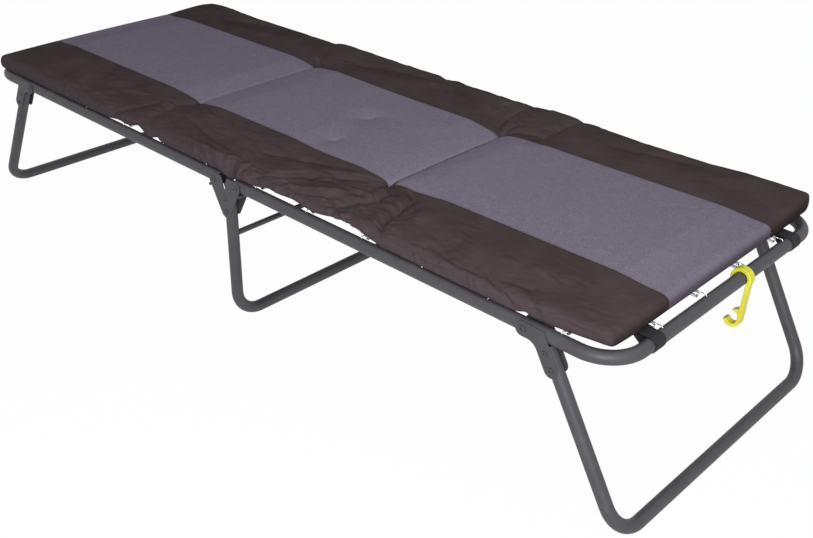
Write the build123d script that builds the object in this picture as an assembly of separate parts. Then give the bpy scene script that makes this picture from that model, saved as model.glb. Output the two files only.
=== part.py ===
from build123d import *
from math import acos, asin, atan2, cos, hypot, pi, radians, sin
import os

os.makedirs("parts", exist_ok=True)

# A folding cot: two half frames of bent steel tube hinge up about a middle leg, an end leg folds flat
# under each half, a sheet hung on springs carries the pad, and a hook hangs on the right end tube.
# It stands on the XY plane, long way along X, centred on the Z axis. Sizes are in millimetres.

# Half frames: 25 mm tube, U-bent, with its open ends above the middle leg
frame_length = 1900.0
frame_width = 700.0
frame_axis_height = 333.5
tube_diameter = 25.0
tube_wall = 1.5
frame_bend_radius = 70.0
tube_overrun = 10.0  # tube past the fold pivot
plug_flange = 1.5
plug_depth = 4.0
plug_clearance = 0.1

# Fold hinge and middle leg
fold_pivot_spacing = 70.0
hinge_lobe_radius = 14.0
middle_rivet_drops = (36.0, 64.0)  # below the frame's axis
middle_leg_top_drop = 20.0
hinge_notch_depth = 32.0
hinge_notch_width = 18.0
notch_floor_radius = 1.5
brace_diameter = 12.0
brace_height = 212.0
stop_bar_diameter = 6.0
stop_bar_end = 1.0  # bar past each plate

# End legs
leg_diameter = 25.0
leg_wall = 1.5
leg_bend_radius = 60.0
leg_splay = 30.0  # degrees from upright, when open
leg_pivot_inset = 185.0  # from the frame's end
leg_offset = 28.0  # from the pivot to the leg's axis
leg_rivet_drops = (8.3, 38.1)  # along the leg, from its top end
leg_lobe_radius = 14.0
leg_plate_rise = 12.0  # top edge above the frame's axis
leg_plate_fillet = 25.0
leg_plate_corner = 4.0

# Plates and rivets
plate_thickness = 2.0
plate_edge_radius = 0.6
rivet_radius = 3.0
rivet_head_radius = 5.5
pivot_radius = 4.0
pivot_head_radius = 6.5
rivet_head_height = 1.8
rivet_hollow_radius = 2.2
rivet_hollow_depth = 2.4

# Deck sheet, eyelets and springs
deck_rise = 9.0  # middle of the sheet above the frame's axis
deck_thickness = 2.0
deck_corner_radius = 40.0
deck_split = 3.0  # between the two halves of the sheet
eyelet_margin = 8.0
eyelet_bore_radius = 3.0
eyelet_wall = 1.2
eyelet_flange_radius = 6.0
eyelet_flange = 0.6
spring_wire = 2.0
coil_mean_radius = 6.0
coil_bore_radius = 5.0
coil_outer_radius = 7.0
coil_length = 24.0
coil_to_tube_axis = 18.0
coil_to_deck = 2.5
tube_hook_reach = 8.0  # centre of the hook's bend from the tube's axis
tube_hook_turn = 155.0  # degrees
eyelet_hook_turn = 180.0
wire_in_coil = 1.0
side_spring_start = 80.0  # from the fold line
side_spring_end = 107.5  # from the end tube's axis
side_spring_count = 6
end_spring_inset = 130.5  # from the side tube's axis
end_spring_count = 4
hook_hole_clearance = 0.5
eyelet_seat_gap = 0.35  # between a spring's hook and the side of the eyelet that it pulls on

# Pad: three foam sections in one cover
pad_end_inset = 30.0  # from the frame's outer edges
pad_side_inset = 10.0
pad_top_rise = 50.0  # above the frame's axis
pad_edge_rise = 16.5
middle_section_length = 600.0
pad_corner_radius = 30.0
crease_corner_radius = 4.0  # where a section's sides turn in to the crease
pad_top_radius = 12.0
pad_foot_radius = 8.0
pad_gap = 0.3
belly_margin = 3.0

# Straps that tie the pad to the end tubes
strap_width = 30.0
strap_thickness = 1.5
strap_inset = 102.5  # from the side tube's axis
strap_tail = 36.0

# Hook on the right end tube
hook_width = 17.0
hook_thickness = 7.0
hook_place = 53.0
hook_wrap = 200.0  # degrees of the arch around the tube, from its outboard side
hook_neck_angle = 22.0  # the arch runs on this far under the tube's side, then turns back
hook_neck_radius = 15.0
hook_lean = 2.5
hook_shank = 73.0
hook_bend_radius = 13.2
hook_bend_angle = 160.0
hook_tooth_drop = 58.0
hook_tooth_height = 16.0
hook_tooth_reach = 13.5
hook_edge_radius = 1.5

# Clearances between moving pieces
plate_gap = 0.3
pin_clearance = 0.05
stop_gap = 0.5
hook_gap = 0.3

# Places worked out from the sizes above
tube_radius = tube_diameter / 2
leg_radius = leg_diameter / 2
axis_x = frame_length / 2 - tube_radius
axis_y = frame_width / 2 - tube_radius
axis_z = frame_axis_height
fold_x = fold_pivot_spacing / 2
pivot_x = frame_length / 2 - leg_pivot_inset
plate_inner = max(tube_radius, leg_radius) + plate_gap
deck_edge = coil_to_tube_axis + coil_length + coil_to_deck
deck_half_width = axis_y - deck_edge
deck_end = axis_x - deck_edge
deck_z = axis_z + deck_rise
deck_top = deck_z + deck_thickness / 2
splay = radians(leg_splay)
leg_along = Vector(sin(splay), 0, -cos(splay))
leg_across = Vector(cos(splay), 0, sin(splay))
leg_pivot = Vector(pivot_x, 0, axis_z)
leg_foot_axis = leg_pivot + leg_across * leg_offset
leg_length = (leg_foot_axis.Z - leg_radius) / cos(splay)
pad_length = frame_length - 2 * pad_end_inset
pad_width = frame_width - 2 * pad_side_inset


def evenly(first, last, count):
    """Places from first to last, equally far apart."""
    return [first + (last - first) * i / (count - 1) for i in range(count)]


side_spring_places = evenly(side_spring_start, axis_x - side_spring_end, side_spring_count)
end_spring_places = evenly(end_spring_inset - axis_y, axis_y - end_spring_inset, end_spring_count)


def save(node, solids):
    """Write one node, as one solid or as a group of separate solids."""
    parts = [solid for piece in solids for solid in piece.solids()]
    export_step(parts[0] if len(parts) == 1 else Compound(children=parts), f"parts/{node}.step")


def both(pieces, plane):
    """The pieces and their mirror images."""
    return list(pieces) + [mirror(piece, about=plane) for piece in pieces]


def other_half(pieces):
    """Pieces of the right half turned to the left half, where a near piece becomes a far one."""
    return [Rot(0, 0, 180) * piece for piece in pieces]


def belt(circles):
    """Face inside a belt pulled counter-clockwise round circles (x, y, radius); radius 0 is a corner."""
    normals = []
    for (x1, y1, r1), (x2, y2, r2) in zip(circles, circles[1:] + circles[:1]):
        normals.append(atan2(y2 - y1, x2 - x1) - pi / 2 + asin((r1 - r2) / hypot(x2 - x1, y2 - y1)))

    def rim(index, angle):
        x, y, r = circles[index]
        return (x + r * cos(angle), y + r * sin(angle))

    edges = []
    for i, circle in enumerate(circles):
        following = (i + 1) % len(circles)
        edges.append(Line(rim(i, normals[i]), rim(following, normals[i])))
        if circle[2] > 0:
            turn = (normals[i] - normals[i - 1]) % (2 * pi)
            middle = rim(i, normals[i - 1] + turn / 2)
            edges.append(ThreePointArc(rim(i, normals[i - 1]), middle, rim(i, normals[i])))
    return make_face(edges)


def rod(start, end, radius):
    """A round bar from start to end."""
    start, end = Vector(start), Vector(end)
    place = Plane(origin=start, z_dir=end - start)
    return place * Cylinder(radius, (end - start).length, align=(Align.CENTER, Align.CENTER, Align.MIN))


def bent_tube(points, bend_radius, radius, wall):
    """Hollow tube along a path with rounded corners."""
    path = FilletPolyline(*points, radius=bend_radius)
    section = Plane(origin=path @ 0, z_dir=path % 0) * (Circle(radius) - Circle(radius - wall))
    return sweep(section, path=path)


def standing(outline, y_face, thickness):
    """Extrude an outline drawn in X and Z, from y_face towards -Y."""
    place = Plane(origin=(0, y_face, 0), x_dir=(1, 0, 0), z_dir=(0, -1, 0))
    return extrude(place * outline, amount=thickness, dir=(0, -1, 0))


def rivet(x, z, shank_radius, head_radius):
    """Semi-tubular rivet through both plates of the near side, its hollow end outwards."""
    reach = plate_inner + plate_thickness
    head = Cylinder(head_radius, rivet_head_height, align=(Align.CENTER, Align.CENTER, Align.MIN))
    head = fillet(head.edges().group_by(Axis.Z)[-1], rivet_head_height * 0.6)
    body = Cylinder(shank_radius, 2 * reach)
    body += Pos(0, 0, reach) * head
    body += Pos(0, 0, -reach) * Rot(180, 0, 0) * head
    hollow = Pos(0, 0, reach + rivet_head_height) * Cylinder(rivet_hollow_radius, 2 * rivet_hollow_depth)
    return Plane(origin=(x, -axis_y, z), z_dir=(0, -1, 0)) * (body - hollow)


def rivet_hole(x, z, shank_radius):
    """Cutter for a rivet's hole through one side's tube or plates."""
    reach = plate_inner + 2 * plate_thickness
    return rod((x, -axis_y - reach, z), (x, -axis_y + reach, z), shank_radius + pin_clearance)


def plate_pair(outline, holes):
    """Outer and inner plate of the near side, with softened edges on their outward faces."""
    pair = []
    for y_face in (-axis_y - plate_inner, -axis_y + plate_inner + plate_thickness):
        plate = standing(outline, y_face, plate_thickness)
        for hole in holes:
            plate -= hole
        rims = plate.faces().filter_by(Axis.Y)
        edges = [edge for face in rims for edge in face.outer_wire().edges()]
        pair.append(fillet(edges, plate_edge_radius))
    return pair


# Springs. One spring is drawn beside a tube whose axis is Y, with the deck towards +X.
def hook_wire(start, bend_centre, end_turn):
    """Wire from the coil's top over a round bend: end_turn is where the bend stops, in degrees."""
    radius = coil_mean_radius
    top = Vector(bend_centre, 0, deck_rise + radius)
    run = Line((start, 0, deck_rise + radius), top)
    way = 1 if bend_centre > start else -1
    turn = radians(end_turn)
    middle = Vector(bend_centre + way * radius * sin(turn / 2), 0, deck_rise + radius * cos(turn / 2))
    last = Vector(bend_centre + way * radius * sin(turn), 0, deck_rise + radius * cos(turn))
    path = Wire([run, ThreePointArc(top, middle, last)])
    return sweep(Plane(origin=path @ 0, z_dir=path % 0) * Circle(spring_wire / 2), path=path)


def spring():
    """Close-wound coil with a hook at each end, one into the tube and one through the eyelet."""
    coil_start = coil_to_tube_axis
    coil_end = coil_start + coil_length
    wire_in_eyelet = eyelet_bore_radius - spring_wire / 2 - eyelet_seat_gap
    eyelet_bend = deck_edge + eyelet_margin - wire_in_eyelet - coil_mean_radius
    ring = Circle(coil_outer_radius) - Circle(coil_bore_radius)
    body = extrude(Plane(origin=(coil_start, 0, deck_rise), z_dir=(1, 0, 0)) * ring, amount=coil_length)
    body += hook_wire(coil_start + wire_in_coil, tube_hook_reach, tube_hook_turn)
    body += hook_wire(coil_end - wire_in_coil, eyelet_bend, eyelet_hook_turn)
    return body


def hook_hole():
    """Cutter for the hole where a spring's hook enters the tube."""
    reach = hypot(tube_hook_reach, deck_rise)
    middle_of_wall = tube_radius - tube_wall / 2
    share = (middle_of_wall**2 - reach**2 - coil_mean_radius**2) / (2 * coil_mean_radius * reach)
    turn = acos(share) - atan2(tube_hook_reach, deck_rise)
    bend_centre = Vector(tube_hook_reach, 0, deck_rise)
    point = bend_centre + Vector(-sin(turn), 0, cos(turn)) * coil_mean_radius
    heading = Vector(-cos(turn), 0, -sin(turn)) * 2 * tube_wall
    return rod(point - heading, point + heading, spring_wire / 2 + hook_hole_clearance)


def at_springs(piece):
    """The piece at each spring's place on the right half: near side, end tube, far side."""
    near = [Pos(x, -axis_y, axis_z) * Rot(0, 0, 90) * piece for x in side_spring_places]
    far = [Pos(x, axis_y, axis_z) * Rot(0, 0, -90) * piece for x in side_spring_places]
    end = [Pos(axis_x, y, axis_z) * Rot(0, 0, 180) * piece for y in end_spring_places]
    return near, end, far


# Right half frame
frame_points = [
    (fold_x - tube_overrun, -axis_y, axis_z),
    (axis_x, -axis_y, axis_z),
    (axis_x, axis_y, axis_z),
    (fold_x - tube_overrun, axis_y, axis_z),
]
frame_tube = bent_tube(frame_points, frame_bend_radius, tube_radius, tube_wall)
frame_tube -= both([rivet_hole(x, axis_z, pivot_radius) for x in (fold_x, pivot_x)], Plane.XZ)
frame_tube -= [hole for side in at_springs(hook_hole()) for hole in side]
save("right_frame_tube", [frame_tube])
save("left_frame_tube", other_half([frame_tube]))

plug_stem_radius = tube_radius - tube_wall - plug_clearance
plug = Cylinder(tube_radius, plug_flange, align=(Align.CENTER, Align.CENTER, Align.MAX))
plug += Cylinder(plug_stem_radius, plug_depth, align=(Align.CENTER, Align.CENTER, Align.MIN))
plug = Plane(origin=(fold_x - tube_overrun, -axis_y, axis_z), z_dir=(1, 0, 0)) * plug
plugs = both([plug], Plane.XZ)
save("right_frame_plugs", plugs)
save("left_frame_plugs", other_half(plugs))

# Hinge plates of the middle leg: two lobes at the fold pivots, and a foot riveted to the leg
leg_rivet_z = [axis_z - drop for drop in middle_rivet_drops]
hinge_outline = belt([
    (-fold_x, axis_z, hinge_lobe_radius),
    (0, leg_rivet_z[-1], hinge_lobe_radius),
    (fold_x, axis_z, hinge_lobe_radius),
])
notch_top = axis_z + hinge_lobe_radius
notch_lines = Polyline(
    (-hinge_notch_width / 2, notch_top + 1),
    (0, notch_top - hinge_notch_depth),
    (hinge_notch_width / 2, notch_top + 1),
    close=True,
)
notch = make_face(notch_lines)
notch = fillet(notch.vertices().sort_by(Axis.Y)[0], notch_floor_radius)
hinge_outline -= notch
hinge_holes = [rivet_hole(x, axis_z, pivot_radius) for x in (-fold_x, fold_x)]
hinge_holes += [rivet_hole(0, z, rivet_radius) for z in leg_rivet_z]
outer_plate, inner_plate = plate_pair(hinge_outline, hinge_holes)
for name, plate in (("outer", outer_plate), ("inner", inner_plate)):
    save(f"middle_hinge_plate_near_{name}", [plate])
    save(f"middle_hinge_plate_far_{name}", [mirror(plate, about=Plane.XZ)])
fold_pins = [rivet(x, axis_z, pivot_radius, pivot_head_radius) for x in (-fold_x, fold_x)]
save("fold_pivot_rivets", both(fold_pins, Plane.XZ))
leg_rivets = [rivet(0, z, rivet_radius, rivet_head_radius) for z in leg_rivet_z]
save("middle_leg_rivets", both(leg_rivets, Plane.XZ))

# Stop bars: welded under each frame tube, resting on the edges of the hinge plates
stop_bar_radius = stop_bar_diameter / 2
arm = Vector(fold_x, 0, leg_rivet_z[-1] - axis_z).normalized()
edge_normal = Vector(arm.Z, 0, -arm.X)
stop_z = -(tube_radius + stop_bar_radius)
stop_x = (hinge_lobe_radius + stop_bar_radius + plate_gap - edge_normal.Z * stop_z) / edge_normal.X
stop_reach = plate_inner + plate_thickness + stop_bar_end
stop_bar = rod(
    (fold_x - stop_x, -axis_y - stop_reach, axis_z + stop_z),
    (fold_x - stop_x, -axis_y + stop_reach, axis_z + stop_z),
    stop_bar_radius,
)
stop_bars = both([stop_bar], Plane.XZ)
save("right_stop_bars", stop_bars)
save("left_stop_bars", other_half(stop_bars))

# Middle leg: upright U of tube, with a thin brace between its uprights
middle_points = [
    (0, -axis_y, axis_z - middle_leg_top_drop),
    (0, -axis_y, leg_radius),
    (0, axis_y, leg_radius),
    (0, axis_y, axis_z - middle_leg_top_drop),
]
middle_leg = bent_tube(middle_points, leg_bend_radius, leg_radius, leg_wall)
middle_leg -= both([rivet_hole(0, z, rivet_radius) for z in leg_rivet_z], Plane.XZ)
save("middle_leg_tube", [middle_leg])
brace = rod((0, -axis_y, brace_height), (0, axis_y, brace_height), brace_diameter / 2)
for y in (-axis_y, axis_y):
    brace -= rod((0, y, brace_height - brace_diameter), (0, y, brace_height + brace_diameter), leg_radius)
save("middle_leg_brace", [brace])

# Right end leg: splayed U of tube that stops under the frame tube when open
leg_top = (tube_radius + stop_gap + (leg_radius + leg_offset) * sin(splay)) / cos(splay)
leg_end = leg_foot_axis + leg_along * leg_top
leg_foot = leg_foot_axis + leg_along * leg_length
leg_points = [
    (leg_end.X, -axis_y, leg_end.Z),
    (leg_foot.X, -axis_y, leg_foot.Z),
    (leg_foot.X, axis_y, leg_foot.Z),
    (leg_end.X, axis_y, leg_end.Z),
]
leg_rivet_points = [leg_end + leg_along * drop for drop in leg_rivet_drops]
end_leg = bent_tube(leg_points, leg_bend_radius, leg_radius, leg_wall)
end_leg -= both([rivet_hole(p.X, p.Z, rivet_radius) for p in leg_rivet_points], Plane.XZ)
save("right_leg_tube", [end_leg])
save("left_leg_tube", other_half([end_leg]))


def on_leg_edge(z, side):
    """Point of the gusset's edge beside the leg: side is -1 inboard, 1 outboard."""
    along = (leg_foot_axis.Z - z) / cos(splay)
    across = leg_lobe_radius / cos(splay)
    return (leg_foot_axis.X + along * sin(splay) + side * across, z)


# Gussets of the end legs: a lobe at the pivot, an arm along the frame, and a strip down the leg
plate_top = axis_z + leg_plate_rise
plate_low = axis_z - leg_lobe_radius
last_rivet = leg_rivet_points[-1]
inner_corner = on_leg_edge(plate_low, -1)
outer_corner = on_leg_edge(plate_top, 1)
gusset = belt([
    (pivot_x, axis_z, leg_lobe_radius),
    (*inner_corner, 0),
    (last_rivet.X, last_rivet.Z, leg_lobe_radius),
    (*outer_corner, 0),
])
gusset = fillet(gusset.vertices().sort_by_distance((*inner_corner, 0))[0], leg_plate_fillet)
gusset = fillet(gusset.vertices().sort_by_distance((*outer_corner, 0))[0], leg_plate_corner)
gusset_holes = [rivet_hole(pivot_x, axis_z, pivot_radius)]
gusset_holes += [rivet_hole(p.X, p.Z, rivet_radius) for p in leg_rivet_points]
outer_plate, inner_plate = plate_pair(gusset, gusset_holes)
for name, plate in (("outer", outer_plate), ("inner", inner_plate)):
    far_plate = mirror(plate, about=Plane.XZ)
    save(f"right_leg_plate_near_{name}", [plate])
    save(f"right_leg_plate_far_{name}", [far_plate])
    save(f"left_leg_plate_far_{name}", other_half([plate]))
    save(f"left_leg_plate_near_{name}", other_half([far_plate]))
pins = both([rivet(pivot_x, axis_z, pivot_radius, pivot_head_radius)], Plane.XZ)
save("right_leg_pivot_rivets", pins)
save("left_leg_pivot_rivets", other_half(pins))
rivets = both([rivet(p.X, p.Z, rivet_radius, rivet_head_radius) for p in leg_rivet_points], Plane.XZ)
save("right_leg_rivets", rivets)
save("left_leg_rivets", other_half(rivets))

# Deck: half of the hung sheet, with a metal eyelet for each spring
eyelet_wall_radius = eyelet_bore_radius + eyelet_wall
eyelet_half = deck_thickness / 2 + eyelet_flange
flange_rise = eyelet_half - eyelet_flange / 2
eyelet = Cylinder(eyelet_wall_radius, 2 * eyelet_half)
for way in (-1, 1):
    eyelet += Pos(0, 0, way * flange_rise) * Cylinder(eyelet_flange_radius, eyelet_flange)
eyelet -= Cylinder(eyelet_bore_radius, 3 * eyelet_half)
eyelet = Pos(deck_edge + eyelet_margin, 0, deck_rise) * eyelet
eyelet_hole = Cylinder(eyelet_wall_radius + pin_clearance, 2 * deck_thickness)
eyelet_hole = Pos(deck_edge + eyelet_margin, 0, deck_rise) * eyelet_hole
deck_size = (deck_end - deck_split / 2, 2 * deck_half_width, deck_thickness)
deck = Box(*deck_size, align=(Align.MIN, Align.CENTER, Align.CENTER))
deck = Pos(deck_split / 2, 0, deck_z) * deck
deck = fillet(deck.edges().filter_by(Axis.Z).group_by(Axis.X)[-1], deck_corner_radius)
deck -= [hole for side in at_springs(eyelet_hole) for hole in side]
save("right_deck", [deck])
save("left_deck", other_half([deck]))
eyelets = [piece for side in at_springs(eyelet) for piece in side]
save("right_eyelets", eyelets)
save("left_eyelets", other_half(eyelets))
near_springs, end_springs, far_springs = at_springs(spring())
save("right_side_springs", near_springs + far_springs)
save("left_side_springs", other_half(near_springs + far_springs))
save("right_end_springs", end_springs)
save("left_end_springs", other_half(end_springs))


# Pad: the middle section is cut at the fold line, and its other cuts are the sewn creases
def pad_section(x_low, x_high, corner_radius, belly_end):
    """Foam section with a belly that rests on the deck; only its face at the fold line is square."""
    slab = Rectangle(x_high - x_low, pad_width, align=(Align.MIN, Align.CENTER))
    slab = fillet(slab.vertices().group_by(Axis.X)[-1], corner_radius)
    slab = Pos(x_low, 0, axis_z + pad_edge_rise) * extrude(slab, amount=pad_top_rise - pad_edge_rise)
    top_rim = slab.edges().group_by(Axis.Z)[-1]
    slab = fillet(top_rim.filter_by(lambda edge: edge.center().X > 1), pad_top_radius)
    foot_rim = slab.edges().group_by(Axis.Z)[0]
    outside = foot_rim.filter_by(lambda edge: abs(edge.center().Y) > 1 or edge.center().X > crease_x + 1)
    slab = fillet(outside, pad_foot_radius)
    belly_height = axis_z + pad_edge_rise + pad_foot_radius - belly_low
    belly_size = (belly_end - x_low, 2 * belly_half_width, belly_height)
    belly = Box(*belly_size, align=(Align.MIN, Align.CENTER, Align.MIN))
    return slab + Pos(x_low, 0, belly_low) * belly


crease_x = middle_section_length / 2
belly_low = deck_top + pad_gap
belly_inset = eyelet_margin + eyelet_flange_radius + belly_margin
belly_half_width = deck_half_width - belly_inset
middle_end = crease_x - pad_gap / 2
middle_half = pad_section(pad_gap / 2, middle_end, crease_corner_radius, middle_end)
end_section = pad_section(crease_x + pad_gap / 2, pad_length / 2, pad_corner_radius, deck_end - belly_inset)
save("right_pad_middle_half", [middle_half])
save("left_pad_middle_half", other_half([middle_half]))
save("right_pad_end_section", [end_section])
save("left_pad_end_section", other_half([end_section]))

# Straps: a loop of webbing round the end tube, sewn under the end of the pad
strap_bore = tube_radius + plate_gap
strap_skin = strap_bore + strap_thickness
strap_top = pad_edge_rise - pad_gap
tail_corners = [(-strap_tail, strap_top, 0), (-strap_tail, strap_top - 2 * strap_thickness, 0)]
loop = belt([(0, 0, strap_skin), *tail_corners])
loop -= belt([(0, 0, strap_bore), (-strap_tail + 3 * strap_thickness, strap_top - strap_thickness, 0)])
strap = extrude(loop, amount=strap_width / 2, both=True)
strap = Rot(90, 0, 0) * strap
straps = both([Pos(axis_x, strap_inset - axis_y, axis_z) * strap], Plane.XZ)
save("right_straps", straps)
save("left_straps", other_half(straps))

# Hook: an arch clipped over the end tube, a shank, an upturned bend, and a tooth across its mouth
arch_radius = tube_radius + hook_gap + hook_thickness / 2
arch_line = CenterArc((0, 0), arch_radius, hook_wrap, -hook_wrap - hook_neck_angle)
neck_line = JernArc(arch_line @ 1, arch_line % 1, hook_neck_radius, hook_neck_angle - hook_lean)
shank_line = Line(neck_line @ 1, neck_line @ 1 + (neck_line % 1) * hook_shank)
bend_line = JernArc(shank_line @ 1, shank_line % 1, hook_bend_radius, -hook_bend_angle)
bar = trace(Wire([arch_line, neck_line, shank_line, bend_line]), line_width=hook_thickness)
bar = extrude(bar, amount=hook_width / 2, both=True)
bar = fillet(bar.edges().filter_by(Axis.Z, reverse=True), hook_edge_radius)
tooth_root = shank_line @ 0.5
tooth_low = hook_tooth_drop + hook_tooth_height
tooth_tip = (tooth_root.X - hook_thickness / 2 - hook_tooth_reach, -(hook_tooth_drop + tooth_low) / 2)
tooth = Polyline((tooth_root.X, -hook_tooth_drop), tooth_tip, (tooth_root.X, -tooth_low), close=True)
hook = bar + extrude(make_face(tooth), amount=hook_width / 2 - hook_edge_radius, both=True)
hook = Pos(axis_x, hook_place, axis_z) * Rot(90, 0, 0) * hook
save("storage_hook", [hook])
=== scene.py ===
from math import acos, atan2, cos, hypot, pi, radians, sin

import bmesh
import bpy
import numpy as np
from mathutils import Matrix, Quaternion, Vector, noise


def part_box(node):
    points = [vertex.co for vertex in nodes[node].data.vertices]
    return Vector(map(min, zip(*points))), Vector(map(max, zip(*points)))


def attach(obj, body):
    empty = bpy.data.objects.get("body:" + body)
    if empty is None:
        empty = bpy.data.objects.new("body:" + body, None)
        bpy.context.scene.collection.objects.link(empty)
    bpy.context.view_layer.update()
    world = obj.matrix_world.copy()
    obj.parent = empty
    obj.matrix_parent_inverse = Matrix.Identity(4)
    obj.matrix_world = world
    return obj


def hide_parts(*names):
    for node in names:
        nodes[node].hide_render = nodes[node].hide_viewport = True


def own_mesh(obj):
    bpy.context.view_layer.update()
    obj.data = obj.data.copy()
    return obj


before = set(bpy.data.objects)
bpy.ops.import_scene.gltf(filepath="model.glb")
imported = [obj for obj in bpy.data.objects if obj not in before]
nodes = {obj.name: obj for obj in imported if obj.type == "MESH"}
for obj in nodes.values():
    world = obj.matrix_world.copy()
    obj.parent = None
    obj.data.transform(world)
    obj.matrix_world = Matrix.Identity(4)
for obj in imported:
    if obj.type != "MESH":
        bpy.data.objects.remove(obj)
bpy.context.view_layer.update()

# ---- Steel tubes -----------------------------------------------------------------------------------
# The half frames, the legs and the brace are bent from drawn steel tube and dipped in powder coat:
# charcoal, satin, with a fine orange-peel grain and aluminium flake whose specks are painted lighter as
# glints.
coat_colour = "#3b393e"
coat_dust = "#4b4a4f"
# Painted sparkle: the flake specks are lighter in colour, standing in for their glints
painted_flake_glint = "#8a898e"
coat_patch = 0.05
coat_flake_size = 0.0009
coat_grain = 0.0006
coat_grain_depth = 0.00006


def shade(hex_colour):
    """A colour as the shader takes it, from its written form."""
    parts = [int(hex_colour[i : i + 2], 16) / 255 for i in (1, 3, 5)]
    return [c / 12.92 if c <= 0.04045 else ((c + 0.055) / 1.055) ** 2.4 for c in parts] + [1.0]


class Reading:
    """A number that changes over a surface. Arithmetic on readings adds Math nodes to their recipe."""

    def __init__(self, recipe, source):
        self.recipe, self.source = recipe, source

    def maths(self, operation, *terms):
        """One Math node on its terms."""
        return self.recipe.node("Math", {"operation": operation}, dict(enumerate(terms)))

    def __add__(self, other):
        return self.maths("ADD", self, other)

    def __sub__(self, other):
        return self.maths("SUBTRACT", self, other)

    def __rsub__(self, other):
        return self.maths("SUBTRACT", other, self)

    def __mul__(self, other):
        return self.maths("MULTIPLY", self, other)

    def __gt__(self, other):
        return self.maths("GREATER_THAN", self, other)

    def __lt__(self, other):
        return self.maths("LESS_THAN", self, other)

    def __abs__(self):
        return self.maths("ABSOLUTE", self)

    __radd__, __rmul__ = __add__, __mul__

    def larger(self, other):
        """The larger of two."""
        return self.maths("MAXIMUM", self, other)

    def rise(self, low, high):
        """0 below low, 1 above high, and smooth between."""
        settings = {"interpolation_type": "SMOOTHSTEP"}
        return self.recipe.node("MapRange", settings, {"Value": self, "From Min": low, "From Max": high})


class Recipe:
    """The nodes of one material, or of the room's light."""

    def __init__(self, owner):
        owner.use_nodes = True
        self.nodes, self.links = owner.node_tree.nodes, owner.node_tree.links

    def node(self, kind, settings, values, output=0):
        """Add one node: its settings, then the numbers or links of its inputs. Gives one output."""
        made = self.nodes.new("ShaderNode" + kind)
        for name, value in settings.items():
            setattr(made, name, value)
        for name, value in values.items():
            self.feed(made.inputs[name], value)
        return Reading(self, made.outputs[output])

    def feed(self, socket, value):
        """Link a reading to an input, or set the input to a plain value."""
        if isinstance(value, Reading):
            self.links.new(value.source, socket)
        elif value is not None:
            socket.default_value = value


class Finish(Recipe):
    """A material, built from its principled shader back to its patterns."""

    def __init__(self, name, **constants):
        self.material = bpy.data.materials.new(name)
        super().__init__(self.material)
        self.shader = self.nodes["Principled BSDF"]
        self.place = self.node("TexCoord", {}, {}, "Object")
        for socket, value in constants.items():
            self.shader.inputs[socket.replace("_", " ").title().replace("Ior", "IOR")].default_value = value

    def stretched(self, *scales):
        """The place on the piece, scaled along each axis."""
        return self.node("VectorMath", {"operation": "MULTIPLY"}, {0: self.place, 1: scales})

    def noise(self, size, detail=2.0, place=None):
        """Soft random pattern, from about 0 to 1, with blotches of that size in metres."""
        return self.node("TexNoise", {}, {"Vector": place or self.place, "Scale": 1 / size, "Detail": detail})

    def mix(self, share, first, second):
        """Blend two colours by a share of the second."""
        first = shade(first) if isinstance(first, str) else first
        second = shade(second) if isinstance(second, str) else second
        return self.node("Mix", {"data_type": "RGBA"}, {0: share, 6: first, 7: second}, 2)

    def bump(self, height, depth, strength=1.0, under=None):
        """Relief of that depth in metres over the shape, or over an earlier bump."""
        values = {"Height": height, "Distance": depth, "Strength": strength, "Normal": under}
        return self.node("Bump", {}, values)

    def surface(self, colour, roughness, relief=None):
        """Set what changes over the surface, and give the material."""
        self.feed(self.shader.inputs["Base Color"], colour)
        self.feed(self.shader.inputs["Roughness"], roughness)
        if relief is not None:
            self.feed(self.shader.inputs["Normal"], relief)
        return self.material


def paint(names, material):
    """Give carried-over pieces their finish."""
    for name in names:
        nodes[name].data.materials.clear()
        nodes[name].data.materials.append(material)


def powder_coat(name, colour, dust):
    """Satin coat with dusty patches, flake specks painted lighter as glints, and an orange-peel grain."""
    coat = Finish(name, specular_ior_level=0.45)
    patches = coat.noise(coat_patch, 3.0).rise(0.35, 0.7)
    # Real flake specks, painted lighter as glints, and a little glossier
    flake_glints = coat.noise(coat_flake_size, 1.0).rise(0.66, 0.74)
    body = coat.mix(patches * 0.35, colour, dust)
    body = coat.mix(flake_glints * 0.3, body, painted_flake_glint)
    relief = coat.bump(coat.noise(coat_grain), coat_grain_depth, 0.8)
    return coat.surface(body, 0.5 - flake_glints * 0.12 + patches * 0.06, relief)


tube_coat = powder_coat("tube_coat", coat_colour, coat_dust)
tube_names = ["middle_leg_tube", "middle_leg_brace", "left_frame_tube", "right_frame_tube"]
tube_names += ["left_leg_tube", "right_leg_tube"]
paint(tube_names, tube_coat)

# ---- Plates and stop bars --------------------------------------------------------------------------
# Hinge plates and leg gussets are pressed from 2 mm steel sheet with rolled edges, drilled and dipped
# in the same coat. The short stop bars are welded under the frame tubes.
plate_colour = "#373639"
plate_wear = "#4d4c50"
plate_coat = powder_coat("plate_coat", plate_colour, plate_wear)
paint([name for name in nodes if "_plate_" in name or name.endswith("stop_bars")], plate_coat)

# ---- Rivets ----------------------------------------------------------------------------------------
# Semi-tubular steel rivets, set through both plates before coating. Their hollow ends look outwards,
# and their rims are rubbed by handling.
rivet_colour = "#323236"
rivet_rim = "#7d7f83"
rivet = Finish("rivet_coat", specular_ior_level=0.5)
rubbed = rivet.noise(0.003, 3.0).rise(0.5, 0.75)
rivet_face = rivet.mix(rubbed * 0.5, rivet_colour, rivet_rim)
rivet_relief = rivet.bump(rivet.noise(0.0008), 0.00005)
rivet_coat = rivet.surface(rivet_face, 0.5 - rubbed * 0.15, rivet_relief)
paint([name for name in nodes if name.endswith("rivets")], rivet_coat)

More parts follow.
